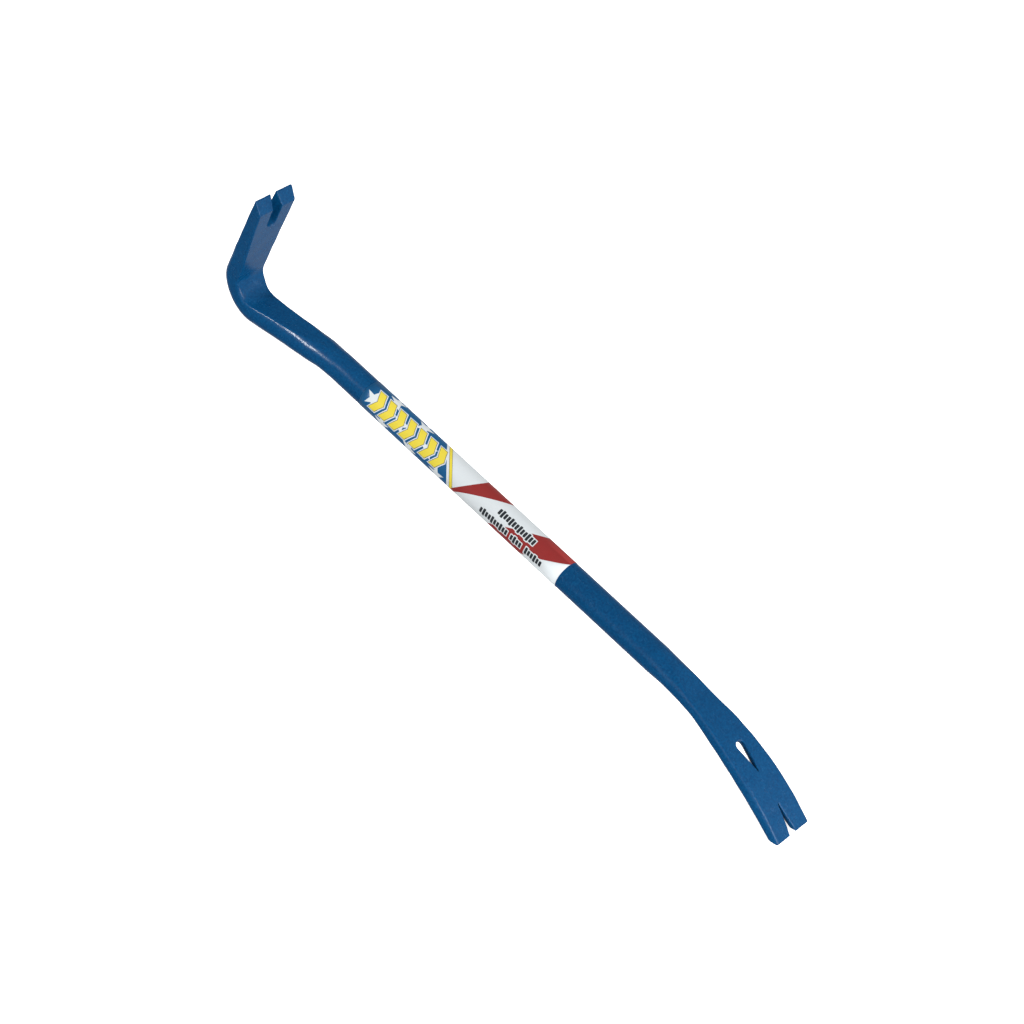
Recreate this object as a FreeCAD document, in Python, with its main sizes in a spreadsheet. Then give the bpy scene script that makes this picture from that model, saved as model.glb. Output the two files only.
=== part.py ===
import FreeCAD, Part
import math
import os

import Sketcher

# Gooseneck wrecking bar: one forged steel bar, hooked into a nail claw at one end and flattened
# into a curved blade with a nail eye at the other, with a printed film label wrapped round it.
#
# Frame: millimetres. X runs along the shaft axis, from the hook (-X) to the blade (+X).
# Y is the width of the claws, and Z points to the side that the hook rises to.
# The origin is on the shaft axis, halfway along the bar's overall length.

DIMENSIONS = {
    "shaft_dia": 23.0,
    # how far round the shaft runs from the origin, towards each end
    "round_to_hook": 166.2,
    "round_to_blade": 152.8,
    # chords that split a round section where the faces of the flat sections begin
    "round_top_chord": 12.0,
    "round_side_chord": 6.0,
    # hook end: a shallow neck bend down, a straight neck, the heel bend up, then the claw arm
    "neck_root_length": 15.1,
    "neck_bend_angle": 11.2,
    "neck_bend_radius": 150.0,
    "neck_length": 62.9,
    "heel_bend_angle": 113.4,
    "heel_bend_radius": 23.2,
    "arm_length": 89.3,
    "arm_bevel_length": 8.2,
    "arm_edge_land": 1.0,
    "slot_depth": 28.0,
    "slot_inner_mouth": 9.5,
    "slot_inner_root": 8.5,
    "slot_outer_mouth": 4.3,
    "slot_outer_root": 3.3,
    # blade end: a short tight bend, one long shallow curve, then the tip
    "blade_root_length": 18.3,
    "blade_root_angle": 2.7,
    "blade_root_radius": 80.0,
    "blade_bend_angle": 31.3,
    "blade_bend_radius": 248.6,
    "blade_tip_length": 4.4,
    "blade_bevel_length": 7.0,
    "blade_edge_land": 0.6,
    # notch and eye: the face outline runs straight down through the opening's wall, then opens out to
    # the relief outline, drawn below the metal; the eye's middle and points are measured from the tip
    "opening_wall": 4.0,
    "opening_reach": 9.0,
    "vee_face_mouth": 6.3,
    "vee_face_root": 0.6,
    "vee_face_depth": 23.8,
    "vee_relief_mouth": 17.3,
    "vee_relief_root": 8.6,
    "vee_relief_depth": 29.3,
    "eye_middle": 63.2,
    "eye_face_point": 50.4,
    "eye_face_length": 25.3,
    "eye_face_width": 7.6,
    "eye_relief_point": 39.0,
    "eye_relief_length": 43.2,
    "eye_relief_width": 20.6,
    # wrapped label, measured along X from the origin
    "label_to_hook": 150.6,
    "label_to_blade": 63.6,
    "label_film": 0.15,
    "label_overlap": 8.0,
}

# Width, thickness and corner radius of each section across the bar.
STATIONS = {
    "neck_root": (24.0, 22.3, 10.2),
    "neck_mid": (26.4, 18.3, 5.8),
    "heel_start": (27.6, 17.6, 4.4),
    "heel_end": (29.0, 15.9, 2.8),
    "arm_mid": (32.4, 12.4, 2.1),
    "arm_tip": (36.4, 9.2, 1.5),
    "blade_root": (23.2, 18.6, 8.6),
    "blade_near": (23.8, 11.0, 5.0),
    "blade_mid": (29.4, 11.1, 5.0),
    "blade_late": (33.6, 10.9, 4.8),
    "blade_far": (35.6, 10.0, 4.4),
    "blade_tip": (36.0, 7.8, 3.4),
}
for station, sizes in STATIONS.items():
    for quantity, value in zip(("width", "thickness", "corner"), sizes):
        DIMENSIONS[f"{station}_{quantity}"] = value

doc = FreeCAD.newDocument("WreckingBar")
sheet = doc.addObject("Spreadsheet::Sheet", "Sizes")
for row, (alias, value) in enumerate(DIMENSIONS.items(), start=1):
    sheet.set(f"A{row}", alias)
    sheet.set(f"B{row}", str(value))
    sheet.setAlias(f"B{row}", alias)
doc.recompute()

HOOK, BLADE = -1, 1
UP, DOWN = 1, -1
OVERSHOOT = "3 mm"  # how far a cutting profile reaches past the metal it cuts
# What a rounded section is drawn at before its constraints give it its real size, in millimetres.
START_HALF_WIDTH, START_HALF_HEIGHT, START_CORNER = 12.0, 8.0, 3.0
VECTOR = FreeCAD.Vector
NORMAL = VECTOR(0, 0, 1)


def size(alias):
    """The sheet's cell as an expression in millimetres."""
    return f"(Sizes.{alias} * 1 mm)"


def number(alias):
    """The sheet's cell as a number, to draw a sketch close to its solved shape."""
    return float(sheet.get(alias))


class Walk:
    """A place on the bar's centre line in the XZ plane, held as FreeCAD expressions.

    end says which way along X the walk goes, and heading is its slope in degrees, positive towards +Z.
    """

    def __init__(self, end, x, z="0 mm", heading="0"):
        self.end = end
        self.x = x
        self.z = z
        self.heading = heading

    def line(self, length):
        x = f"{self.x} + {self.end} * ({length}) * cos(({self.heading}) * 1 deg)"
        z = f"{self.z} + ({length}) * sin(({self.heading}) * 1 deg)"
        return Walk(self.end, x, z, self.heading)

    def arc(self, turn, radius, angle, share=1.0):
        """Along the first share of a bend that turns UP or DOWN by angle, an expression in degrees."""
        heading = f"{self.heading} + {turn} * {share} * {angle}"
        before, after = f"({self.heading}) * 1 deg", f"({heading}) * 1 deg"
        x = f"{self.x} + {self.end} * {turn} * {radius} * (sin({after}) - sin({before}))"
        z = f"{self.z} + {turn} * {radius} * (cos({before}) - cos({after}))"
        return Walk(self.end, x, z, heading)

    def raised(self, height):
        """The same station, moved across the bar by height, towards its upper or inner face."""
        x = f"{self.x} - {self.end} * ({height}) * sin(({self.heading}) * 1 deg)"
        z = f"{self.z} + ({height}) * cos(({self.heading}) * 1 deg)"
        return Walk(self.end, x, z, self.heading)


def new_body(label):
    body = doc.addObject("PartDesign::Body", label)
    body.Label = label
    return body


def new_sketch(body, name, role):
    sketch = body.newObject("Sketcher::SketchObject", name)
    plane = next(feature for feature in body.Origin.OriginFeatures if feature.Role == role)
    sketch.AttachmentSupport = [(plane, "")]
    sketch.MapMode = "FlatFace"
    return sketch


def sketch_across(body, name, at):
    """A sketch square to the bar at a station: x along the bar's width, y towards its upper face."""
    return tilted_sketch(body, name, at, f"{-at.end} * ({at.heading})")


def sketch_along(body, name, at):
    """A sketch flat to the bar at a station: its x is the bar's width, its y points to the tip."""
    return tilted_sketch(body, name, at, f"{-at.end} * ({at.heading} - 90)")


def tilted_sketch(body, name, at, angle):
    """A sketch at a station, turned from the YZ plane about the bar's width by angle in degrees."""
    sketch = new_sketch(body, name, "YZ_Plane")
    sketch.AttachmentOffset = FreeCAD.Placement(VECTOR(), FreeCAD.Rotation(VECTOR(1, 0, 0), 1))
    sketch.setExpression("AttachmentOffset.Base.y", at.z)
    sketch.setExpression("AttachmentOffset.Base.z", at.x)
    sketch.setExpression("AttachmentOffset.Rotation.Angle", f"({angle}) * 1 deg")
    return sketch


def bind(sketch, constraint, expression):
    index = sketch.addConstraint(constraint)
    sketch.setExpression(f"Constraints[{index}]", expression)


def join_ends(sketch, kind, edges):
    """Joins the end of each edge to the start of the next, in a ring."""
    for edge in range(edges):
        sketch.addConstraint(Sketcher.Constraint(kind, edge, 2, (edge + 1) % edges, 1))


def rounded_section(body, name, at, width, height, corner):
    """A rounded rectangle across the bar, from the right end of its upper edge and on leftwards."""
    sketch = sketch_across(body, name, at)
    w, h, r = START_HALF_WIDTH, START_HALF_HEIGHT, START_CORNER

    def corner_arc(side, up, quarter):
        circle = Part.Circle(VECTOR(side * (w - r), up * (h - r), 0), NORMAL, r)
        return Part.ArcOfCircle(circle, quarter * math.pi / 2, (quarter + 1) * math.pi / 2)

    sketch.addGeometry(
        [
            Part.LineSegment(VECTOR(w - r, h, 0), VECTOR(r - w, h, 0)),
            corner_arc(-1, 1, 1),
            Part.LineSegment(VECTOR(-w, h - r, 0), VECTOR(-w, r - h, 0)),
            corner_arc(-1, -1, 2),
            Part.LineSegment(VECTOR(r - w, -h, 0), VECTOR(w - r, -h, 0)),
            corner_arc(1, -1, 3),
            Part.LineSegment(VECTOR(w, r - h, 0), VECTOR(w, h - r, 0)),
            corner_arc(1, 1, 0),
        ]
    )
    join_ends(sketch, "Tangent", 8)
    for edge in (0, 4):
        sketch.addConstraint(Sketcher.Constraint("Horizontal", edge))
        sketch.addConstraint(Sketcher.Constraint("Vertical", edge + 2))
    for edge in (3, 5, 7):
        sketch.addConstraint(Sketcher.Constraint("Equal", 1, edge))
    bind(sketch, Sketcher.Constraint("Radius", 1, r), corner)
    bind(sketch, Sketcher.Constraint("DistanceX", -1, 1, 6, 1, w), f"({width}) / 2")
    bind(sketch, Sketcher.Constraint("DistanceX", 2, 1, -1, 1, w), f"({width}) / 2")
    bind(sketch, Sketcher.Constraint("DistanceY", -1, 1, 0, 1, h), f"({height}) / 2")
    bind(sketch, Sketcher.Constraint("DistanceY", 4, 1, -1, 1, h), f"({height}) / 2")
    return sketch


def station_section(body, station, at):
    width, height, corner = (size(f"{station}_{q}") for q in ("width", "thickness", "corner"))
    return rounded_section(body, f"section_{station}", at, width, height, corner)


def round_section(body, name, at):
    """The round shaft, split into the same eight edges as a rounded rectangle."""
    sketch = sketch_across(body, name, at)
    r = number("shaft_dia") / 2
    top, side = number("round_top_chord") / 2, number("round_side_chord") / 2
    top_angle, side_angle = math.acos(top / r), math.asin(side / r)
    half_turn = math.pi
    angles = [top_angle, half_turn - top_angle, half_turn - side_angle, half_turn + side_angle]
    angles += [angle + half_turn for angle in angles]
    ring = Part.Circle(VECTOR(), NORMAL, r)
    ends = angles[1:] + [angles[0] + 2 * half_turn]
    sketch.addGeometry([Part.ArcOfCircle(ring, start, end) for start, end in zip(angles, ends)])
    join_ends(sketch, "Coincident", 8)
    for edge in range(7):
        sketch.addConstraint(Sketcher.Constraint("Coincident", edge, 3, -1, 1))
    sketch.addConstraint(Sketcher.Constraint("Equal", 0, 7))
    for edge in (0, 4):
        sketch.addConstraint(Sketcher.Constraint("Horizontal", edge, 1, edge, 2))
        sketch.addConstraint(Sketcher.Constraint("Vertical", edge + 2, 1, edge + 2, 2))
    bind(sketch, Sketcher.Constraint("Radius", 0, r), f"{size('shaft_dia')} / 2")
    bind(sketch, Sketcher.Constraint("DistanceX", 0, 2, 0, 1, 2 * top), size("round_top_chord"))
    bind(sketch, Sketcher.Constraint("DistanceX", 4, 1, 4, 2, 2 * top), size("round_top_chord"))
    bind(sketch, Sketcher.Constraint("DistanceY", 2, 2, 2, 1, 2 * side), size("round_side_chord"))
    bind(sketch, Sketcher.Constraint("DistanceY", 6, 1, 6, 2, 2 * side), size("round_side_chord"))
    return sketch


def bound_polygon(sketch, points):
    """A closed polygon, each corner bound to a pair of expressions."""
    ring = [VECTOR(math.cos(2 * math.pi * i / len(points)), math.sin(2 * math.pi * i / len(points)), 0)
            for i in range(len(points))]
    sketch.addGeometry([Part.LineSegment(a, b) for a, b in zip(ring, ring[1:] + ring[:1])])
    join_ends(sketch, "Coincident", len(points))
    for edge, (x, y) in enumerate(points):
        bind(sketch, Sketcher.Constraint("DistanceX", -1, 1, edge, 1, ring[edge].x), x)
        bind(sketch, Sketcher.Constraint("DistanceY", -1, 1, edge, 1, ring[edge].y), y)


def loft(body, kind, name, sections, ruled=False):
    feature = body.newObject(kind, name)
    feature.Profile = (sections[0], [""])
    feature.Sections = [(section, [""]) for section in sections[1:]]
    feature.Ruled = ruled
    doc.recompute()
    return feature


def hook_stations():
    """Where each section of the hook end sits, from the round shaft to the tip."""
    neck = (DOWN, size("neck_bend_radius"), "Sizes.neck_bend_angle")
    heel = (UP, size("heel_bend_radius"), "Sizes.heel_bend_angle")
    at = {"round": Walk(HOOK, f"{HOOK} * {size('round_to_hook')}")}
    at["neck_root"] = at["round"].line(size("neck_root_length"))
    neck_start = at["neck_root"].arc(*neck)
    at["neck_mid"] = neck_start.line(f"0.5 * {size('neck_length')}")
    at["heel_start"] = neck_start.line(size("neck_length"))
    at["heel_end"] = at["heel_start"].arc(*heel)
    at["arm_mid"] = at["heel_end"].line(f"0.5 * {size('arm_length')}")
    at["arm_tip"] = at["heel_end"].line(size("arm_length"))
    return at


def blade_stations():
    """Where each section of the blade end sits, from round shaft to tip, and the nail eye's centre."""
    root = (DOWN, size("blade_root_radius"), "Sizes.blade_root_angle")
    bend = (DOWN, size("blade_bend_radius"), "Sizes.blade_bend_angle")
    at = {"round": Walk(BLADE, size("round_to_blade"))}
    at["blade_root"] = at["round"].line(size("blade_root_length"))
    bend_start = at["blade_root"].arc(*root)
    at["blade_near"] = bend_start.arc(*bend, 0.18)
    at["blade_mid"] = bend_start.arc(*bend, 0.39)
    at["blade_late"] = bend_start.arc(*bend, 0.6)
    at["blade_far"] = bend_start.arc(*bend, 0.82)
    at["blade_tip"] = bend_start.arc(*bend).line(size("blade_tip_length"))
    bend_length = f"{size('blade_bend_radius')} * Sizes.blade_bend_angle * pi / 180"
    eye_to_bend_end = f"{size('eye_middle')} - {size('blade_tip_length')}"
    at["eye"] = bend_start.arc(*bend, f"(1 - ({eye_to_bend_end}) / ({bend_length}))")
    return at


def add_shaft(body, section):
    shaft = body.newObject("PartDesign::Pad", "shaft")
    shaft.Profile = (section, [""])
    shaft.setExpression("Length", f"{size('round_to_hook')} + {size('round_to_blade')}")
    doc.recompute()


def add_hook(body, round_end, at):
    neck = [round_end]
    neck += [station_section(body, name, at[name]) for name in ("neck_root", "neck_mid", "heel_start")]
    loft(body, "PartDesign::AdditiveLoft", "neck", neck)
    heel_end = station_section(body, "heel_end", at["heel_end"])
    sweep_heel(body, at["heel_start"], neck[-1], heel_end)
    arm = [heel_end]
    arm += [station_section(body, name, at[name]) for name in ("arm_mid", "arm_tip")]
    loft(body, "PartDesign::AdditiveLoft", "arm", arm)


def sweep_heel(body, start, first, last):
    """The tight bend at the heel, swept from the neck's last section to the arm's first."""
    path = new_sketch(body, "heel_path", "XZ_Plane")
    centre = start.raised(size("heel_bend_radius"))
    end = start.arc(UP, size("heel_bend_radius"), "Sizes.heel_bend_angle")
    r = number("heel_bend_radius")
    begin = math.radians(number("neck_bend_angle") - 90)
    turn = math.radians(number("heel_bend_angle"))
    middle = VECTOR(-number("round_to_hook") - number("neck_length"), r, 0)
    path.addGeometry(Part.ArcOfCircle(Part.Circle(middle, NORMAL, r), begin - turn, begin))
    bind(path, Sketcher.Constraint("Radius", 0, r), size("heel_bend_radius"))
    bind(path, Sketcher.Constraint("DistanceX", -1, 1, 0, 3, middle.x), centre.x)
    bind(path, Sketcher.Constraint("DistanceY", -1, 1, 0, 3, middle.y), centre.z)
    bind(path, Sketcher.Constraint("DistanceX", -1, 1, 0, 2, middle.x), start.x)
    bind(path, Sketcher.Constraint("DistanceY", -1, 1, 0, 1, middle.y), end.z)
    doc.recompute()
    pipe = body.newObject("PartDesign::AdditivePipe", "heel")
    pipe.Profile = (first, [""])
    pipe.Spine = (path, ["Edge1"])
    pipe.Sections = [(last, [""])]
    pipe.Transformation = "Multisection"
    doc.recompute()


def add_blade(body, at):
    sections = [round_section(body, "blade_round", at["round"])]
    for name in ("blade_root", "blade_near", "blade_mid", "blade_late", "blade_far", "blade_tip"):
        sections.append(station_section(body, name, at[name]))
    loft(body, "PartDesign::AdditiveLoft", "blade", sections)


def cut_bevel(body, name, tip, face, thickness, length, land):
    """Planes one face (UP for the upper or inner one) down to a thin edge at the tip."""
    sketch = new_sketch(body, f"{name}_section", "XZ_Plane")
    sketch.AttachmentOffset = FreeCAD.Placement(VECTOR(), FreeCAD.Rotation(NORMAL, 1))
    sketch.setExpression("AttachmentOffset.Base.x", tip.x)
    sketch.setExpression("AttachmentOffset.Base.y", tip.z)
    sketch.setExpression("AttachmentOffset.Rotation.Angle", f"{tip.end} * ({tip.heading}) * 1 deg")
    slope = f"({thickness} - {land}) / {length}"
    edge = f"{face} * ({land} - {thickness} / 2 - {OVERSHOOT} * {slope})"
    start = f"{face} * ({thickness} / 2 + {OVERSHOOT} * {slope})"
    beyond = f"{tip.end} * {OVERSHOOT}"
    before = f"{-tip.end} * ({length} + {OVERSHOOT})"
    bound_polygon(sketch, [(beyond, edge), (beyond, start), (before, start)])
    pocket = body.newObject("PartDesign::Pocket", name)
    pocket.Profile = (sketch, [""])
    pocket.Type = "ThroughAll"
    pocket.Midplane = True
    doc.recompute()


def cut_slot(body, at):
    """The hook's nail slot: a round-ended notch whose walls lean open towards the inner face."""
    profiles = []
    for side, sign in (("outer", -1), ("inner", 1)):
        plane = at["arm_tip"].raised(f"{sign} * {size('arm_mid_thickness')} / 2")
        sketch = sketch_along(body, f"slot_{side}", plane)
        draw_slot(sketch, "slot_depth", f"slot_{side}_mouth", f"slot_{side}_root")
        profiles.append(sketch)
    loft(body, "PartDesign::SubtractiveLoft", "nail_slot", profiles, ruled=True)


def draw_slot(sketch, depth, mouth, root):
    """A notch open at the tip, at the sketch's origin, with a half-round root."""
    r, w, over = number(root) / 2, number(mouth) / 2, 3.0
    centre = VECTOR(0, r - number(depth), 0)
    root_arc = Part.ArcOfCircle(Part.Circle(centre, NORMAL, r), math.pi, 2 * math.pi)
    sketch.addGeometry(
        [
            root_arc,
            Part.LineSegment(centre + VECTOR(r, 0, 0), VECTOR(w, over, 0)),
            Part.LineSegment(VECTOR(w, over, 0), VECTOR(-w, over, 0)),
            Part.LineSegment(VECTOR(-w, over, 0), centre - VECTOR(r, 0, 0)),
        ]
    )
    sketch.addConstraint(Sketcher.Constraint("Tangent", 0, 2, 1, 1))
    sketch.addConstraint(Sketcher.Constraint("Coincident", 1, 2, 2, 1))
    sketch.addConstraint(Sketcher.Constraint("Coincident", 2, 2, 3, 1))
    sketch.addConstraint(Sketcher.Constraint("Tangent", 3, 2, 0, 1))
    sketch.addConstraint(Sketcher.Constraint("PointOnObject", 0, 3, -2))
    bind(sketch, Sketcher.Constraint("Radius", 0, r), f"{size(root)} / 2")
    to_centre = Sketcher.Constraint("DistanceY", 0, 3, -1, 1, -centre.y)
    bind(sketch, to_centre, f"{size(depth)} - {size(root)} / 2")
    bind(sketch, Sketcher.Constraint("DistanceX", -1, 1, 1, 2, w), f"{size(mouth)} / 2")
    bind(sketch, Sketcher.Constraint("DistanceX", 2, 2, -1, 1, w), f"{size(mouth)} / 2")
    bind(sketch, Sketcher.Constraint("DistanceY", -1, 1, 1, 2, over), OVERSHOOT)
    bind(sketch, Sketcher.Constraint("DistanceY", -1, 1, 2, 2, over), OVERSHOOT)


def cut_vee(body, at):
    """The V notch in the blade's tip, which opens out towards the lower face."""
    cut_opening(body, "vee_notch", at["blade_tip"], size("blade_tip_thickness"), draw_vee)


def cut_eye(body, at):
    """The teardrop nail eye, pointed towards the tip, which opens out towards the lower face."""
    cut_opening(body, "nail_eye", at["eye"], size("blade_late_thickness"), draw_teardrop)


def cut_opening(body, name, at, thickness, draw):
    """Cuts a straight wall down from the upper face, then a flared relief on through the lower one."""
    reach = size("opening_reach")
    waist = f"({thickness} / 2 - {size('opening_wall')})"
    levels = (("top", reach, "face"), ("waist", waist, "face"), ("bottom", f"-1 * {reach}", "relief"))
    profiles = []
    for level, height, outline in levels:
        sketch = sketch_along(body, f"{name}_{level}", at.raised(height))
        draw(sketch, outline)
        profiles.append(sketch)
    loft(body, "PartDesign::SubtractiveLoft", name, profiles, ruled=True)


def draw_vee(sketch, outline):
    """A V with a flat root, open at the tip."""
    root, mouth, depth = (size(f"vee_{outline}_{q}") for q in ("root", "mouth", "depth"))
    wide = f"({root} + ({mouth} - {root}) * ({depth} + {OVERSHOOT}) / {depth})"
    corners = [
        (f"-1 * {root} / 2", f"-1 * {depth}"),
        (f"{root} / 2", f"-1 * {depth}"),
        (f"{wide} / 2", OVERSHOOT),
        (f"-1 * {wide} / 2", OVERSHOOT),
    ]
    bound_polygon(sketch, corners)


def draw_teardrop(sketch, outline):
    """A round end away from the tip, and straight sides that meet in a point towards it."""
    width, length, point = (f"eye_{outline}_{q}" for q in ("width", "length", "point"))
    r, reach = number(width) / 2, number(length)
    tip = VECTOR(0, number("eye_middle") - number(point), 0)
    centre = tip - VECTOR(0, reach - r, 0)
    lean = math.acos(r / (reach - r))
    start, end = math.pi / 2 + lean, 2.5 * math.pi - lean
    left = centre + VECTOR(r * math.cos(start), r * math.sin(start), 0)
    right = centre + VECTOR(r * math.cos(end), r * math.sin(end), 0)
    bowl = Part.ArcOfCircle(Part.Circle(centre, NORMAL, r), start, end)
    sketch.addGeometry([bowl, Part.LineSegment(right, tip), Part.LineSegment(tip, left)])
    sketch.addConstraint(Sketcher.Constraint("Tangent", 0, 2, 1, 1))
    sketch.addConstraint(Sketcher.Constraint("Coincident", 1, 2, 2, 1))
    sketch.addConstraint(Sketcher.Constraint("Tangent", 2, 2, 0, 1))
    sketch.addConstraint(Sketcher.Constraint("PointOnObject", 0, 3, -2))
    sketch.addConstraint(Sketcher.Constraint("PointOnObject", 1, 2, -2))
    bind(sketch, Sketcher.Constraint("Radius", 0, r), f"{size(width)} / 2")
    to_tip = Sketcher.Constraint("DistanceY", -1, 1, 1, 2, tip.y)
    bind(sketch, to_tip, f"{size('eye_middle')} - {size(point)}")
    centre_to_tip = Sketcher.Constraint("DistanceY", 0, 3, 1, 2, reach - r)
    bind(sketch, centre_to_tip, f"{size(length)} - {size(width)} / 2")


def make_bar():
    body = new_body("forged_bar")
    hook, blade = hook_stations(), blade_stations()
    round_end = round_section(body, "shaft_section", hook["round"])
    add_shaft(body, round_end)
    add_hook(body, round_end, hook)
    add_blade(body, blade)
    inner = (size("arm_tip_thickness"), size("arm_bevel_length"), size("arm_edge_land"))
    cut_bevel(body, "arm_bevel", hook["arm_tip"], UP, *inner)
    cut_slot(body, hook)
    under = (size("blade_tip_thickness"), size("blade_bevel_length"), size("blade_edge_land"))
    cut_bevel(body, "blade_bevel", blade["blade_tip"], DOWN, *under)
    cut_vee(body, blade)
    cut_eye(body, blade)
    return body


def make_label():
    """A film wrapped once round the shaft, with its end lapped over its start underneath."""
    body = new_body("label")
    start = Walk(BLADE, f"-1 * {size('label_to_hook')}")
    inner, film = f"{size('shaft_dia')} / 2", size("label_film")
    wrap = sketch_across(body, "wrap_section", start)
    first_r = number("shaft_dia") / 2
    rings = ((first_r, inner), (first_r + number("label_film"), f"{inner} + {film}"))
    for index, (r, radius) in enumerate(rings):
        wrap.addGeometry(Part.Circle(VECTOR(), NORMAL, r))
        wrap.addConstraint(Sketcher.Constraint("Coincident", index, 3, -1, 1))
        bind(wrap, Sketcher.Constraint("Radius", index, r), radius)
    lap = sketch_across(body, "lap_section", start)
    draw_lap(lap, f"{inner} + {film}", f"{inner} + 2 * {film}", size("label_overlap"))
    for name, sketch in (("label_wrap", wrap), ("label_lap", lap)):
        pad = body.newObject("PartDesign::Pad", name)
        pad.Profile = (sketch, [""])
        pad.setExpression("Length", f"{size('label_to_hook')} + {size('label_to_blade')}")
        doc.recompute()
    return body


def draw_lap(sketch, inner, outer, width):
    """A band of film between two radii, centred straight below the shaft axis."""
    r_in = number("shaft_dia") / 2 + number("label_film")
    r_out = r_in + number("label_film")
    half = number("label_overlap") / 2
    arcs = []
    for r in (r_out, r_in):
        lean = math.asin(half / r)
        ring = Part.Circle(VECTOR(), NORMAL, r)
        arcs.append(Part.ArcOfCircle(ring, 1.5 * math.pi - lean, 1.5 * math.pi + lean))
    outer_arc, inner_arc = arcs
    sketch.addGeometry(
        [
            outer_arc,
            Part.LineSegment(outer_arc.EndPoint, inner_arc.EndPoint),
            inner_arc,
            Part.LineSegment(inner_arc.StartPoint, outer_arc.StartPoint),
        ]
    )
    for first, second in (((0, 2), (1, 1)), ((1, 2), (2, 2)), ((2, 1), (3, 1)), ((3, 2), (0, 1))):
        sketch.addConstraint(Sketcher.Constraint("Coincident", *first, *second))
    sketch.addConstraint(Sketcher.Constraint("Coincident", 0, 3, -1, 1))
    sketch.addConstraint(Sketcher.Constraint("Coincident", 2, 3, -1, 1))
    bind(sketch, Sketcher.Constraint("Radius", 0, r_out), outer)
    bind(sketch, Sketcher.Constraint("Radius", 2, r_in), inner)
    for arc in (0, 2):
        bind(sketch, Sketcher.Constraint("DistanceX", -1, 1, arc, 2, half), f"{width} / 2")
        bind(sketch, Sketcher.Constraint("DistanceX", arc, 1, -1, 1, half), f"{width} / 2")


bodies = [make_bar(), make_label()]
doc.recompute()
for item in doc.Objects:
    if "Invalid" in item.State or "Error" in item.State:
        raise RuntimeError(f"{item.Label} didn't compute: {item.State}")

os.makedirs("parts", exist_ok=True)
for body in bodies:
    if body.Shape.isNull() or not body.Shape.isValid():
        raise RuntimeError(f"{body.Label} has no valid shape")
    body.Shape.exportStep(f"parts/{body.Label}.step")
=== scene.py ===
import itertools
import math
import random

import bpy
import numpy as np
from mathutils import Matrix, Vector
from mathutils.geometry import delaunay_2d_cdt


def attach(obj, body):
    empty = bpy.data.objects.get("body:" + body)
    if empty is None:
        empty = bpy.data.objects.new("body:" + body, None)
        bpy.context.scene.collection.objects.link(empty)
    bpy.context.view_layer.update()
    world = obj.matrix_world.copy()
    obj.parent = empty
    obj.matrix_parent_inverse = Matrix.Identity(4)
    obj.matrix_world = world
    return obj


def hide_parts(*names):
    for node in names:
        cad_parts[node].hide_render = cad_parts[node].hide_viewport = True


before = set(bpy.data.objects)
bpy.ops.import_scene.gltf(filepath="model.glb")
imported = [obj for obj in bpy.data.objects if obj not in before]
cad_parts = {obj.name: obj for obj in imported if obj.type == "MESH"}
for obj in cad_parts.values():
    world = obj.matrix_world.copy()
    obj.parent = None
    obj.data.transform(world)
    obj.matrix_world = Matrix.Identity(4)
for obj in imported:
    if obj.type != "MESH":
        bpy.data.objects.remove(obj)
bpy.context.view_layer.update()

# Gooseneck wrecking bar: a forged and enamelled bar, and the printed film wrapped round its shaft.
# Shapes are worked out in millimetres along the bar's centre line, then placed in the frame in metres.
#
# A point on the bar is (s, n, y): s along the centre line from the frame's origin, positive towards the
# blade, n across the bar towards its upper or inner face, and y across the width of the claws.

MM = 0.001
SHAFT_RADIUS = 11.5
TINY = 1e-6  # small enough to keep a division or a limit safe without showing


# ---------------------------------------------------------------- centre line


def bend(angle, radius):
    """A bend of the centre line as (length, turn): the turn in radians, positive when it turns up."""
    return abs(math.radians(angle)) * radius, math.radians(angle)


# Each end's path outward from the origin, as stretches of (length, turn).
SHAFT_TO_BLADE, SHAFT_TO_HOOK = 171.1, 181.3
BLADE_PATH = [(SHAFT_TO_BLADE, 0.0), bend(-2.73, 79.8), bend(-31.3, 248.6), (4.4, 0.0)]
HOOK_PATH = [(SHAFT_TO_HOOK, 0.0), bend(-11.2, 150.0), (62.9, 0.0), bend(113.4, 23.2), (89.3, 0.0)]
BLADE_TIP = sum(length for length, turn in BLADE_PATH)
HOOK_TIP = sum(length for length, turn in HOOK_PATH)
# The heel is the tight bend between the neck and the hook's arm.
HEEL_START = sum(length for length, turn in HOOK_PATH[:3])
HEEL_END = sum(length for length, turn in HOOK_PATH[:4])


def follow(path, distance):
    """Where a distance along a path lies: forward, upward and heading, each as an array."""
    forward, upward = np.zeros_like(distance), np.zeros_like(distance)
    heading = np.zeros_like(distance)
    start, slope = 0.0, 0.0
    for index, (length, turn) in enumerate(path):
        last = index == len(path) - 1
        gone = np.clip(distance - start, 0.0, np.inf if last else length)
        rate = turn / length
        if turn:
            forward += (np.sin(slope + rate * gone) - math.sin(slope)) / rate
            upward += (math.cos(slope) - np.cos(slope + rate * gone)) / rate
        else:
            forward += gone * math.cos(slope)
            upward += gone * math.sin(slope)
        heading += rate * gone
        start += length
        slope += turn
    return forward, upward, heading


def place(points):
    """Points (s, n, y) on the bar, in millimetres, as points of the frame in millimetres."""
    s, n, y = points.T
    placed = np.empty_like(points)
    for end, path in ((1.0, BLADE_PATH), (-1.0, HOOK_PATH)):
        side = s * end >= 0
        forward, upward, heading = follow(path, np.abs(s[side]))
        placed[side, 0] = end * (forward - n[side] * np.sin(heading))
        placed[side, 2] = upward + n[side] * np.cos(heading)
    placed[:, 1] = y
    return placed


# ---------------------------------------------------------------- sections

# The shaft is round between these two places.
ROUND_FROM, ROUND_TO = -170.0, 154.0
ROUND_SECTION = (2 * SHAFT_RADIUS,) * 2 + (SHAFT_RADIUS,) * 4 + (1.0,)
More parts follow.
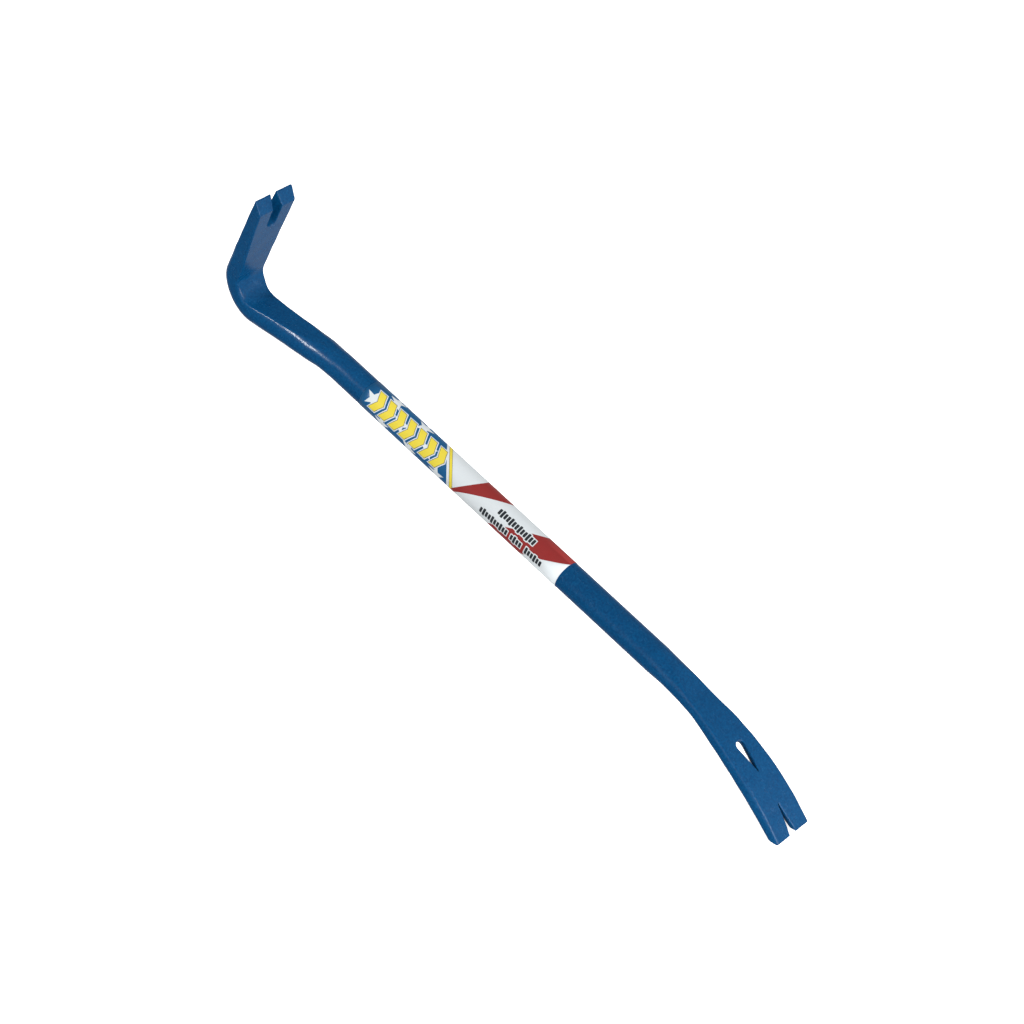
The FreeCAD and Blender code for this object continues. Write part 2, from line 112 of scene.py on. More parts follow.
# Sections along the bar: place, width, thickness, the width and height of the upper corners and of the
# lower ones, and how far the upper corners swell past the upper face, which leaves a crease where it
# cuts them off. Between the rows every size follows a smooth curve without overshoot.
SECTIONS = np.array(
    [
        (-HOOK_TIP, 36.6, 9.3, 1.0, 1.0, 1.2, 1.2, 1.0),
        (-364.1, 32.5, 12.4, 1.7, 1.7, 2.4, 2.4, 1.0),
        (-HEEL_END, 29.0, 15.9, 2.2, 2.2, 5.0, 5.5, 1.0),
        (-(HEEL_START + HEEL_END) / 2, 28.6, 17.6, 2.8, 3.2, 7.5, 9.4, 1.0),
        (-HEEL_START, 27.5, 17.4, 5.6, 6.9, 7.5, 8.6, 1.25),
        (-248.0, 26.7, 17.8, 10.0, 9.9, 9.0, 8.4, 1.25),
        (-230.0, 26.6, 18.7, 11.9, 10.2, 10.4, 8.9, 1.23),
        (-212.0, 25.9, 20.1, 11.9, 10.3, 11.4, 9.6, 1.08),
        (-191.2, 24.0, 21.3, 11.9, 10.6, 12.0, 10.6, 1.0),
        (ROUND_FROM, *ROUND_SECTION),
        (ROUND_TO, *ROUND_SECTION),
        (SHAFT_TO_BLADE, 23.2, 18.6, 10.6, 9.6, 10.8, 9.0, 1.02),
        (185.0, 23.4, 14.4, 6.8, 8.1, 7.2, 6.3, 1.10),
        (199.8, 23.9, 10.9, 4.7, 6.2, 4.6, 4.7, 1.18),
        (228.6, 29.7, 11.1, 4.6, 6.2, 4.4, 4.9, 1.20),
        (257.3, 33.7, 11.1, 4.5, 6.2, 4.4, 4.9, 1.20),
        (286.0, 35.6, 10.2, 4.2, 5.7, 4.2, 4.5, 1.24),
        (BLADE_TIP, 36.0, 8.0, 3.6, 4.5, 3.4, 3.5, 1.26),
    ]
)
# The crease's own rounding grows with the swell, up to a limit.
CREASE_GROWTH = 3.0
CREASE_LEAST, CREASE_MOST = 0.001, 0.7


def sizes_at(s):
    """Every size of the section at s, by a cubic between the table's rows that never overshoots."""
    at, table = SECTIONS[:, 0], SECTIONS[:, 1:]
    secant = np.diff(table, axis=0) / np.diff(at)[:, None]
    before, after = secant[:-1], secant[1:]
    same = before * after > 0
    inner = np.where(same, 2 * before * after / np.where(same, before + after, 1.0), 0.0)
    slope = np.vstack([secant[:1], inner, secant[-1:]])
    row = np.clip(np.searchsorted(at, s) - 1, 0, len(at) - 2)
    step = (at[row + 1] - at[row])[:, None]
    t = np.clip((s - at[row])[:, None] / step, 0.0, 1.0)
    rise = t * t * (3 - 2 * t)
    lead, tail = t * (1 - t) ** 2, t * t * (1 - t)
    curve = table[row] * (1 - rise) + table[row + 1] * rise
    return (curve + step * (slope[row] * lead - slope[row + 1] * tail)).T


def smooth_max(a, b, reach):
    """The larger of two distances, with the corner between them rounded over reach."""
    near = np.maximum(reach - np.abs(a - b), 0.0) / reach
    return np.maximum(a, b) + near * near * reach / 4


def section_distance(n, y, sizes):
    """Distance outside the rounded section, negative inside it."""
    width, thickness, up_w, up_h, low_w, low_h, swell = sizes
    upper = n > (low_h - up_h) / 2
    corner_w = np.where(upper, up_w, low_w)
    corner_h = np.where(upper, up_h, low_h)
    across = (np.abs(y) - (width / 2 - corner_w)) / corner_w
    along = (np.where(upper, n, -n) - (thickness / 2 - corner_h)) / corner_h
    along /= np.where(upper & (along > 0), swell, 1.0)
    outside = np.hypot(np.maximum(across, 0.0), np.maximum(along, 0.0))
    inside = np.minimum(np.maximum(across, along), 0.0)
    rounded = (outside + inside - 1.0) * np.minimum(corner_w, corner_h)
    rounding = np.clip(CREASE_GROWTH * (swell - 1), CREASE_LEAST, CREASE_MOST)
    creased = smooth_max(rounded, n - thickness / 2, rounding)
    return np.where(swell > 1.0, creased, rounded)


def drop_distance(x, y, near_radius, far_radius, length):
    """Distance outside a drop: a circle at the origin drawn out along x to a second circle."""
    y = np.abs(y)
    lean = (near_radius - far_radius) / length
    upright = math.sqrt(1 - lean * lean)
    along = upright * x - lean * y
    near = np.hypot(x, y) - near_radius
    far = np.hypot(x - length, y) - far_radius
    side = lean * x + upright * y - near_radius
    return np.where(along < 0, near, np.where(along > upright * length, far, side))


# ---------------------------------------------------------------- openings and bevels

# Depths and places are measured back from the tip, and root, mouth and radius are half widths.
VEE = {"depth": 23.8, "root": 0.3, "mouth": 3.15, "flare": 1.2}
EYE = {"centre": 71.9, "radius": 3.7, "point": 50.4, "point_radius": 0.3}
OPENING_WALL = 4.0  # depth of the straight wall below the blade's upper face
OPENING_RELIEF = 0.62  # how fast the openings widen below that wall
SLOT = {"depth": 28.0, "root": 2.1, "mouth": 2.6, "relief": 0.22}
SLOT_OVERRUN = 1.5  # the slot's drop is drawn this many times as long, to run out past the tip
BLADE_BEVEL = {"length": 7.5, "land": 0.9}
HOOK_BEVEL = {"length": 8.0, "land": 1.2}
EDGE_ROUNDING = 0.7
TIP_ROUNDING = 0.5
# Distances from the origin beyond which the openings and bevels are cut.
BLADE_CUTS_FROM, HOOK_CUTS_FROM = 200.0, 300.0


def bevel_distance(past_tip, height, thickness, bevel):
    """Distance outside a bevel that starts on the face at -height and leaves a land at the tip."""
    rise, run = thickness - bevel["land"], bevel["length"]
    return (past_tip * rise + (thickness / 2 - bevel["land"] - height) * run) / np.hypot(rise, run)


def cut_blade(solid, s, n, y, thickness):
    """The solid cut to length at the blade's tip, with its bevel, V notch and nail eye."""
    past_tip = s - BLADE_TIP
    solid = smooth_max(solid, past_tip, TIP_ROUNDING)
    solid = smooth_max(solid, bevel_distance(past_tip, n, thickness, BLADE_BEVEL), TIP_ROUNDING)
    below_wall = np.maximum(thickness / 2 - OPENING_WALL - n, 0.0)
    widen = OPENING_RELIEF * below_wall
    share = np.maximum(1 + past_tip / VEE["depth"], 0.0)
    half = VEE["root"] + (VEE["mouth"] - VEE["root"]) * share ** VEE["flare"]
    behind = np.maximum(-(past_tip + VEE["depth"]), 0.0)
    vee = np.abs(y) + behind - half - widen
    solid = smooth_max(solid, -vee, EDGE_ROUNDING)
    reach = EYE["centre"] - EYE["point"]
    eye = drop_distance(past_tip + EYE["centre"], y, EYE["radius"], EYE["point_radius"], reach)
    return smooth_max(solid, widen - eye, EDGE_ROUNDING)


def cut_hook(solid, s, n, y, thickness):
    """The solid cut to length at the hook's tip, with its bevel and its slot."""
    past_tip = -s - HOOK_TIP
    solid = smooth_max(solid, past_tip, TIP_ROUNDING)
    solid = smooth_max(solid, bevel_distance(past_tip, -n, thickness, HOOK_BEVEL), TIP_ROUNDING)
    centre = SLOT["depth"] - SLOT["root"]
    spread = (SLOT["mouth"] - SLOT["root"]) / centre
    length = SLOT_OVERRUN * centre
    slot = drop_distance(past_tip + centre, y, SLOT["root"], SLOT["root"] + spread * length, length)
    widen = SLOT["relief"] * (n + thickness / 2)
    return smooth_max(solid, widen - slot, EDGE_ROUNDING)


# ---------------------------------------------------------------- forging marks

WORKED_FROM, WORKED_BLEND = 160.0, 40.0  # where the hammered skin starts and how slowly it grows
SKIN_HEIGHT = 0.022
SKIN_SEED = 24
SKIN_WAVES = 9
# The range that each wave's numbers are drawn from: radians per millimetre along s, n and y, and a phase.
SKIN_RANGES = ((0.10, 0.42), (-0.25, 0.25), (-0.30, 0.30), (0.0, 2 * math.pi))
rng = random.Random(SKIN_SEED)
WAVES = [tuple(rng.uniform(*limits) for limits in SKIN_RANGES) for _ in range(SKIN_WAVES)]
MARK_BLEND = 3.0  # height above the centre line over which the heel's marks grow
# Marks of the bending tools inside the heel: place, side, reach along and across, and height.
HEEL_MARKS = [
    (HEEL_START + 24.0, 1.0, 5.5, 13.0, 0.12),
    (HEEL_END - 6.0, -9.0, 4.0, 5.0, -0.55),
    (HEEL_END - 10.0, 7.0, 3.0, 6.0, -0.12),
    (HEEL_START + 13.0, -11.5, 5.0, 2.6, -0.50),
    (HEEL_START + 11.0, 9.0, 3.5, 5.0, -0.12),
    (HEEL_START + 2.0, -3.0, 4.0, 12.0, -0.25),
]
# The seam that the dies leave round each outer corner of the heel.
SEAM = {"centre": HEEL_START + 12.0, "reach": 16.0, "inset": 1.2, "width": 0.8, "height": 0.18}


def hill(offset, reach):
    """A smooth bump of height one, centred where offset is zero."""
    return np.exp(-((offset / reach) ** 2))


def forging(s, n, y, width):
    """The uneven hammered skin of the two worked ends: how far the surface stands proud."""
    worked = np.clip((np.abs(s) - WORKED_FROM) / WORKED_BLEND, 0.0, 1.0)
    skin = sum(np.sin(a * s + b * n + c * y + phase) for a, b, c, phase in WAVES)
    proud = SKIN_HEIGHT * worked * skin
    inner = np.clip(n / MARK_BLEND, 0.0, 1.0)
    for along, side, reach_s, reach_y, height in HEEL_MARKS:
        proud += inner * height * hill(-s - along, reach_s) * hill(y - side, reach_y)
    heel = hill(-s - SEAM["centre"], SEAM["reach"])
    corner = hill(np.abs(y) - width / 2 + SEAM["inset"], SEAM["width"]) * (n < 0)
    return proud + SEAM["height"] * heel * corner


def bar_distance(points):
    """Distance outside the finished bar at points (s, n, y), negative inside it."""
    s, n, y = points.T
    sizes = sizes_at(s)
    solid = section_distance(n, y, sizes) - forging(s, n, y, sizes[0])
    blade, hook = s > BLADE_CUTS_FROM, s < -HOOK_CUTS_FROM
    solid[blade] = cut_blade(solid[blade], s[blade], n[blade], y[blade], sizes[1][blade])
    solid[hook] = cut_hook(solid[hook], s[hook], n[hook], y[hook], sizes[1][hook])
    return solid


# ---------------------------------------------------------------- mesh from distance

CELL_CORNERS = list(itertools.product((0, 1), repeat=3))
GRID_FINE, GRID_QUICK, GRID_COARSE = 0.5, 1.0, 2.5
GRID_HALF_HEIGHT, GRID_HALF_WIDTH = 13.0, 20.0
GRID_MARGIN = 2.0  # how far the grid runs past each tip
COARSE_FROM, COARSE_TO = -160.0, 150.0


def grid_lines(fine):
    """Places along s for the grid: fine at both worked ends, coarse along the plain shaft."""
    hook = np.arange(-HOOK_TIP - GRID_MARGIN, COARSE_FROM, fine)
    shaft = np.arange(hook[-1] + GRID_COARSE, COARSE_TO, GRID_COARSE)
    blade = np.arange(shaft[-1] + GRID_COARSE, BLADE_TIP + GRID_MARGIN, fine)
    return np.concatenate([hook, shaft, blade])


def grid_across(half, fine):
    """Places across the grid, from -half to half."""
    return np.arange(-half, half + fine / 2, fine)


def crossed_cells(inside):
    """The grid cells that the surface crosses, and a grid that holds each one's number."""
    cells = tuple(size - 1 for size in inside.shape)
    count = np.zeros(cells, np.int8)
    for corner in CELL_CORNERS:
        count += inside[tuple(slice(c, c + size) for c, size in zip(corner, cells))]
    crossed = np.argwhere((count > 0) & (count < len(CELL_CORNERS)))
    number = np.full(cells, -1, np.int64)
    number[tuple(crossed.T)] = np.arange(len(crossed))
    return crossed, number


def crossing_means(nodes, value, cells):
    """For each cell, the mean of the points where its edges cross the surface."""
    total, hits = np.zeros((len(cells), 3)), np.zeros(len(cells))
    for first, axis in itertools.product(CELL_CORNERS, range(3)):
        if first[axis]:
            continue
        second = tuple(1 if d == axis else first[d] for d in range(3))
        a, b = tuple((cells + first).T), tuple((cells + second).T)
        crossing = (value[a] < 0) != (value[b] < 0)
        gap = np.where(crossing, value[a] - value[b], 1.0)
        share = np.where(crossing, value[a] / gap, 0.0)[:, None]
        point = nodes[a] * (1 - share) + nodes[b] * share
        total += np.where(crossing[:, None], point, 0.0)
        hits += crossing
    return total / hits[:, None]


def crossing_quads(inside, number):
    """A quad for each grid edge that crosses the surface, joining the four cells round it."""
    quads = []
    for axis in range(3):
        near, far = [slice(None)] * 3, [slice(None)] * 3
        near[axis], far[axis] = slice(0, -1), slice(1, None)
        starts_inside = inside[tuple(near)]
        crossed = np.argwhere(starts_inside != inside[tuple(far)])
        outward = starts_inside[tuple(crossed.T)]
        u, v = (axis + 1) % 3, (axis + 2) % 3
        ring = []
        for du, dv in ((0, 0), (1, 0), (1, 1), (0, 1)):
            cell = crossed.copy()
            cell[:, u] -= du
            cell[:, v] -= dv
            ring.append(number[tuple(cell.T)])
        ring = np.stack(ring, -1)
        quads.append(np.where(outward[:, None], ring[:, ::-1], ring))
    return np.concatenate(quads)


def surface_mesh(axes, distance):
    """Vertices and quads where distance is zero: one vertex in each grid cell the surface crosses."""
    nodes = np.stack(np.meshgrid(*axes, indexing="ij"), -1)
    value = np.stack([distance(slab.reshape(-1, 3)).reshape(slab.shape[:-1]) for slab in nodes])
    cells, number = crossed_cells(value < 0)
    return crossing_means(nodes, value, cells), crossing_quads(value < 0, number)


def slope_of(distance, points, step=0.02):
    """The gradient of a distance at points, by central differences."""
    parts = []
    for axis in range(3):
        offset = np.zeros(3)
        offset[axis] = step
        parts.append((distance(points + offset) - distance(points - offset)) / (2 * step))
    return np.stack(parts, -1)


def settle(distance, points, rounds=3, limit=0.5, least_slope=0.05):
    """Moves points onto the surface where distance is zero."""
    for _ in range(rounds):
        slope = slope_of(distance, points)
        steepness = np.maximum((slope**2).sum(-1), least_slope)
        step = (distance(points) / steepness)[:, None] * slope
        points = points - np.clip(step, -limit, limit)
    return points


def mesh_object(name, vertices, faces):
    """A smooth-shaded object from vertices in millimetres and lists of corners."""
    mesh = bpy.data.meshes.new(name)
    mesh.from_pydata((vertices * MM).tolist(), [], faces)
    mesh.validate()
    mesh.polygons.foreach_set("use_smooth", [True] * len(mesh.polygons))
    obj = bpy.data.objects.new(name, mesh)
    bpy.context.scene.collection.objects.link(obj)
    return obj


def set_normals(obj, points, step=0.05):
    """Gives the bar the exact normals of its distance, so its paint shows no facets."""
    along = (place(points + (step, 0, 0)) - place(points - (step, 0, 0))) / (2 * step)
    across = (place(points + (0, step, 0)) - place(points - (0, step, 0))) / (2 * step)
    slope = slope_of(bar_distance, points)
    stretch = (along**2).sum(-1)[:, None]
    normal = slope[:, :1] * along / stretch + slope[:, 1:2] * across
    normal[:, 1] += slope[:, 2]
    normal /= np.maximum(np.linalg.norm(normal, axis=1), TINY)[:, None]
    obj.data.normals_split_custom_set_from_vertices(normal.tolist())


def build_bar():
    """The forged bar, meshed in (s, n, y) and then placed along its centre line."""
    fine = GRID_FINE
    height, width = grid_across(GRID_HALF_HEIGHT, fine), grid_across(GRID_HALF_WIDTH, fine)
    vertices, quads = surface_mesh((grid_lines(fine), height, width), bar_distance)
    vertices = settle(bar_distance, vertices)
    bar = mesh_object("enamelled_bar", place(vertices), quads.tolist())
    set_normals(bar, vertices)
    return bar


# ---------------------------------------------------------------- label print

FILM = 0.15
LABEL_RADIUS = SHAFT_RADIUS + FILM
ROUND = 2 * math.pi * LABEL_RADIUS
LAP = 8.0
LABEL_START, LABEL_END = -150.6, 63.6
SHEET_LOW, SHEET_HIGH = -(ROUND + LAP) / 2, (ROUND + LAP) / 2
STAR_WAIST = 0.4  # a star's inner radius as a share of its outer one
CHEVRON_NOTCH = 0.42  # depth of a chevron's notch as a share of its width
MITRE_LIMIT = 1.4  # how far a sharp corner may run out when a polygon is grown

# The sheet lies flat as (x, v): x along the shaft, v round it from the top, positive towards -Y.


def wave(centre, swing, shift):
    """A slanted edge that closes on itself round the shaft, as a function of v."""
    return lambda v: centre + swing * math.cos(2 * math.pi * (v + shift) / ROUND)


def band(left, right, steps=90):
    """The strip between two edges, from one side of the sheet to the other."""
    rows = [SHEET_LOW + (SHEET_HIGH - SHEET_LOW) * i / steps for i in range(steps + 1)]
    return [(left(v), v) for v in rows] + [(right(v), v) for v in reversed(rows)]


def star(x, v, radius, lean):
    """A five-pointed star, turned by lean."""
    points = []
    for i in range(10):
        r = radius if i % 2 == 0 else STAR_WAIST * radius
        angle = lean + math.pi * i / 5
        points.append((x + r * math.sin(angle), v - r * math.cos(angle)))
    return points


def chevron(x, v, width, height):
    """An arrow-like block that points along x, from x on."""
    notch = CHEVRON_NOTCH * width
    return [
        (x, v - height / 2),
        (x + width - notch, v - height / 2),
        (x + width, v),
        (x + width - notch, v + height / 2),
        (x, v + height / 2),
        (x + notch, v),
    ]


def lozenge(x, v, width, height, corner=0.6, steps=4):
    """A block with rounded corners, centred at (x, v)."""
    points = []
    for quarter, (sx, sv) in enumerate(((1, 1), (-1, 1), (-1, -1), (1, -1))):
        for i in range(steps + 1):
            angle = math.pi / 2 * (quarter + i / steps)
            px = x + sx * (width / 2 - corner) + corner * math.cos(angle)
            pv = v + sv * (height / 2 - corner) + corner * math.sin(angle)
            points.append((px, pv))
    return points


def grown(points, reach):
    """A polygon pushed outward by reach, with its corners kept sharp."""
    area = sum(a[0] * b[1] - b[0] * a[1] for a, b in zip(points, points[1:] + points[:1]))
    side = 1.0 if area > 0 else -1.0
    out = []
    for before, here, after in zip(points[-1:] + points[:-1], points, points[1:] + points[:1]):
        a = Vector((here[0] - before[0], here[1] - before[1])).normalized()
        b = Vector((after[0] - here[0], after[1] - here[1])).normalized()
        na, nb = Vector((a.y, -a.x)) * side, Vector((b.y, -b.x)) * side
        mid = na + nb
        mid *= min(1.0 / (1.0 + na.dot(nb)), MITRE_LIMIT) if mid.length > TINY else 0.0
        out.append((here[0] + reach * mid.x, here[1] + reach * mid.y))
    return out


STARS = {"first": -140.5, "pitch": 15.2, "columns": 6, "rows": range(-2, 3), "v": 9.0, "radius": 8.4}
STAR_CLEARANCE = 4.0  # how far short of the field's edge the last star's centre stays
STAR_LEAN = 0.25
STAR_SEED = 7
# Each mark is printed as layers, one over another: how far it is grown, and the ink.
CHEVRON_LAYERS = ((1.25, "white"), (0.4, "black"), (0.0, "yellow"))
CHEVRONS = {"first": -141.0, "count": 7, "v": 8.3, "width": 11.2, "height": 16.4}
BLOCK = {"pitch": 2.95, "width": 2.25, "low": 4.6, "rise": 1.6}
BLOCK_LAYERS = ((1.5, "white"), (0.0, "black"))
# Rows of blocks that stand for small printing: the row's v, then where each run starts and its count.
BLOCK_ROWS = ((6.4, ((-3.4, 13),)), (15.6, ((-16.8, 10), (15.6, 4), (31.0, 6))))
# Slanted edges as (centre, swing, shift): the star field's end, and both sides of each red stripe.
FIELD_EDGE = (-65.0, 12.0, -21.3)
RED_STRIPES = (((-40.0, 11.0, 6.0), (-23.5, 22.0, 10.0)), ((13.0, 23.0, 9.0), (44.0, 22.0, 6.0)))
# Bands beside the star field: ink, and where each starts and ends past the field's edge.
FIELD_BANDS = (("white", 0.0, 30.0), ("black", 2.8, 6.4), ("yellow", 3.2, 6.0))


def star_field(edge):
    """Staggered columns of stars, each turned a little, up to the field's edge."""
    lean = random.Random(STAR_SEED)
    stars = []
    for column in range(STARS["columns"]):
        for row in STARS["rows"]:
            x = STARS["first"] + STARS["pitch"] * column
            v = STARS["v"] + ROUND / 3 * (row + 0.5 * (column % 2))
            if x + STAR_CLEARANCE < edge(v):
                stars.append(star(x, v, STARS["radius"], lean.uniform(-STAR_LEAN, STAR_LEAN)))
    return stars


def small_blocks():
    """The blocks that stand for small printing, as (x, v, width, height), some taller than others."""
    blocks = []
    for v, runs in BLOCK_ROWS:
        for start, count in runs:
            for i in range(count):
                height = BLOCK["low"] + BLOCK["rise"] * ((i * 5 + count) % 3 == 0)
                blocks.append((start + BLOCK["pitch"] * i, v, BLOCK["width"], height))
    return blocks


def print_shapes():
    """The label's artwork as (ink, polygon), each one printed over those before it."""
    field_edge = wave(*FIELD_EDGE)

    def past_field(distance):
        return lambda v: field_edge(v) + distance

    shapes = [("blue", band(lambda v: LABEL_START, field_edge))]
    shapes += [("white", outline) for outline in star_field(field_edge)]
    for ink, start, end in FIELD_BANDS:
        shapes.append((ink, band(past_field(start), past_field(end))))
    for left, right in RED_STRIPES:
        shapes.append(("red", band(wave(*left), wave(*right))))
    marks = []
    for i in range(CHEVRONS["count"]):
        x = CHEVRONS["first"] + CHEVRONS["width"] * i
        marks.append(chevron(x, CHEVRONS["v"], CHEVRONS["width"], CHEVRONS["height"]))
    for reach, ink in CHEVRON_LAYERS:
        shapes += [(ink, grown(mark, reach)) for mark in marks]
    for reach, ink in BLOCK_LAYERS:
        shapes += [(ink, lozenge(x, v, w + reach, h + reach)) for x, v, w, h in small_blocks()]
    return shapes


def contains(polygon, points):
    """Which points lie inside a polygon."""
    x, v = points.T
    inside = np.zeros(len(points), bool)
    for (ax, av), (bx, bv) in zip(polygon, polygon[1:] + polygon[:1]):
        if av == bv:
            continue
        crosses = (av > v) != (bv > v)
        inside ^= crosses & (x < ax + (v - av) * (bx - ax) / (bv - av))
    return inside


INKS = ["white", "blue", "yellow", "red", "black"]
SHEET_ROWS = 120  # lengthwise cuts that let the sheet bend round the shaft
SHEET_CORNERS = [
    (LABEL_START, SHEET_LOW),
    (LABEL_END, SHEET_LOW),
    (LABEL_END, SHEET_HIGH),
    (LABEL_START, SHEET_HIGH),
]
CUT_TOLERANCE = 1e-4
LAP_RAMP = 0.8  # how far round the shaft the lap takes to climb on to the film below it
FILM_SHOWN = 0.9  # share of the film's thickness that the sheet is given, to clear the shaft


def cut_sheet(shapes):
    """The flat sheet cut along every printed edge: its points, faces and an ink for each face."""
    corners, edges = [], []
    for polygon in [SHEET_CORNERS] + [polygon for ink, polygon in shapes]:
        first = len(corners)
        corners += [Vector((min(max(x, LABEL_START), LABEL_END), v)) for x, v in polygon]
        edges += [(first + i, first + (i + 1) % len(polygon)) for i in range(len(polygon))]
    for i in range(1, SHEET_ROWS):
        v = SHEET_LOW + (SHEET_HIGH - SHEET_LOW) * i / SHEET_ROWS
        edges.append((len(corners), len(corners) + 1))
        corners += [Vector((LABEL_START, v)), Vector((LABEL_END, v))]
    points, _, faces, _, _, _ = delaunay_2d_cdt(corners, edges, [], 0, CUT_TOLERANCE)
    flat = np.array([tuple(point) for point in points])
    centres = np.array([flat[list(face)].mean(0) for face in faces])
    inks = np.zeros(len(faces), int)
    for name, polygon in shapes:
        inks[contains(polygon, centres)] = INKS.index(name)
    low, high = np.array(SHEET_CORNERS[0]) + TINY, np.array(SHEET_CORNERS[2]) - TINY
    kept = ((centres > low) & (centres < high)).all(1)
    # turned over, so that each face looks outward once the sheet is wrapped
    turned = [list(face)[::-1] for face, keep in zip(faces, kept) if keep]
    return flat, turned, inks[kept]


def build_label():
    """The printed film, wrapped round the shaft with its end lapped over its start."""
    flat, faces, inks = cut_sheet(print_shapes())
    x, v = flat.T
    climb = np.clip((v - (ROUND - LAP) / 2 + LAP_RAMP) / LAP_RAMP, 0.0, 1.0)
    radius = LABEL_RADIUS + FILM * climb * climb * (3 - 2 * climb)
    angle = v / LABEL_RADIUS
    outward = np.stack([0 * x, -np.sin(angle), np.cos(angle)], -1)
    label = mesh_object("printed_label", outward * radius[:, None] + np.outer(x, (1, 0, 0)), faces)
    label.data.polygons.foreach_set("material_index", inks)
    label.data.normals_split_custom_set_from_vertices(outward.tolist())
    film = label.modifiers.new("film", "SOLIDIFY")
    film.thickness = FILM_SHOWN * FILM * MM
    film.offset = -1.0
    return label


# ---------------------------------------------------------------- materials


class Nodes:
    """The shader nodes of a material or a world, with short ways to add and link them."""

    def __init__(self, owner):
        owner.use_nodes = True
        self.tree = owner.node_tree

    def add(self, kind, inputs=None, **settings):
        """A new node with its settings, and a value or a link for each input."""
        node = self.tree.nodes.new(kind)
        for key, value in settings.items():
            setattr(node, key, value)
        for key, value in (inputs or {}).items():
            self.give(node.inputs[key], value)
        return node

    def give(self, socket, value):
        """Links an output to a socket, or sets the socket to a plain value."""
        if hasattr(value, "links"):
            self.tree.links.new(value, socket)
        else:
            socket.default_value = value

    def ramp(self, value, low, high, start=0.0, end=1.0):
        """A value from low to high, stretched to run from start to end and held there beyond."""
        inputs = {"Value": value, "From Min": low, "From Max": high, "To Min": start, "To Max": end}
        return self.add("ShaderNodeMapRange", inputs, clamp=True).outputs["Result"]

    def mix(self, share, first, second):
        """Two colours mixed: all of the first where share is 0, all of the second where it is 1."""
        node = self.add("ShaderNodeMix", data_type="RGBA")
        self.give(node.inputs["Factor"], share)
        colours = [socket for socket in node.inputs if socket.type == "RGBA"]
        for socket, value in zip(colours, (first, second)):
            self.give(socket, value)
        return [socket for socket in node.outputs if socket.type == "RGBA"][0]

    def blend(self, share, first, second):
        """Two numbers mixed in the same way."""
        return self.add("ShaderNodeMix", {0: share, 2: first, 3: second}).outputs[0]

    def math(self, operation, first, second):
        """One arithmetic step on two numbers."""
        return self.add("ShaderNodeMath", {0: first, 1: second}, operation=operation).outputs[0]

    def facing(self, direction, towards):
        """How far a direction points towards another, from -1 to 1."""
        inputs = {0: direction, 1: towards}
        return self.add("ShaderNodeVectorMath", inputs, operation="DOT_PRODUCT").outputs["Value"]


class Material(Nodes):
    """A new material whose principled shader takes procedural inputs."""

    def __init__(self, name):
        self.material = bpy.data.materials.new(name)
        super().__init__(self.material)
        self.shader = self.tree.nodes["Principled BSDF"]
        self.position = self.add("ShaderNodeTexCoord").outputs["Object"]

    def noise(self, size_mm, detail=3.0, roughness=0.5):
        """Smooth noise whose features are about size_mm across."""
        inputs = {"Vector": self.position, "Scale": 1 / (size_mm * MM)}
        inputs |= {"Detail": detail, "Roughness": roughness}
        return self.add("ShaderNodeTexNoise", inputs).outputs["Fac"]

    def bump(self, height, distance_mm, strength, normal=None):
        """A normal that follows a height, laid over another normal if one is given."""
        inputs = {"Height": height, "Distance": distance_mm * MM, "Strength": strength}
        if normal is not None:
            inputs["Normal"] = normal
        return self.add("ShaderNodeBump", inputs).outputs["Normal"]

    def shade(self, **values):
        """Gives the shader's inputs by name, with underscores for the spaces."""
        for name, value in values.items():
            self.give(self.shader.inputs[name.replace("_", " ")], value)


PAINT_DEEP, PAINT_MID = (0.0008, 0.040, 0.122, 1.0), (0.0016, 0.062, 0.170, 1.0)
PAINT_GRIT, EDGE_THIN_PAINT_AND_HIGHLIGHT = (0.012, 0.11, 0.26, 1.0), (0.01, 0.09, 0.21, 1.0)


def enamel():
    """Dark blue sprayed enamel over forged steel: orange peel, fine grit under it, and edges lighter as
    thin paint and as a painted highlight.
    """
    n = Material("blue_enamel")
    cloud = n.ramp(n.noise(16.0, detail=4.0, roughness=0.6), 0.35, 0.65)
    grain = n.ramp(n.noise(1.6, detail=2.0, roughness=0.6), 0.36, 0.64)
    share = n.math("ADD", n.math("MULTIPLY", cloud, 0.2), n.math("MULTIPLY", grain, 0.8))
    colour = n.mix(share, PAINT_DEEP, PAINT_MID)
    grit = n.ramp(n.noise(1.5, detail=2.0, roughness=0.7), 0.60, 0.72)
    colour = n.mix(n.math("MULTIPLY", grit, 0.3), colour, PAINT_GRIT)
    # convex edges are lightened by pointiness: partly thin paint, partly a painted highlight along the
    # edges
    edge = n.ramp(n.add("ShaderNodeNewGeometry").outputs["Pointiness"], 0.53, 0.62)
    colour = n.mix(n.math("MULTIPLY", edge, 0.2), colour, EDGE_THIN_PAINT_AND_HIGHLIGHT)
    gloss = n.ramp(n.noise(5.0, detail=5.0, roughness=0.65), 0.3, 0.7, start=0.19, end=0.30)
    peel = n.bump(n.noise(3.2, detail=2.0), distance_mm=0.10, strength=0.6)
    skin = n.bump(n.noise(1.3, detail=2.0), distance_mm=0.14, strength=0.6, normal=peel)
    n.shade(Base_Color=colour, Roughness=gloss, Specular_IOR_Level=0.26, Normal=skin)
    return n.material


INK_COLOURS = {
    "white": (0.61, 0.65, 0.67, 1.0),
    "blue": (0.006, 0.088, 0.225, 1.0),
    "yellow": (0.70, 0.57, 0.050, 1.0),
    "red": (0.26, 0.022, 0.021, 1.0),
    "black": (0.022, 0.026, 0.032, 1.0),
}
INK_FADE, INK_HAZE = 0.94, 0.004  # how the mottle of the print pales an ink


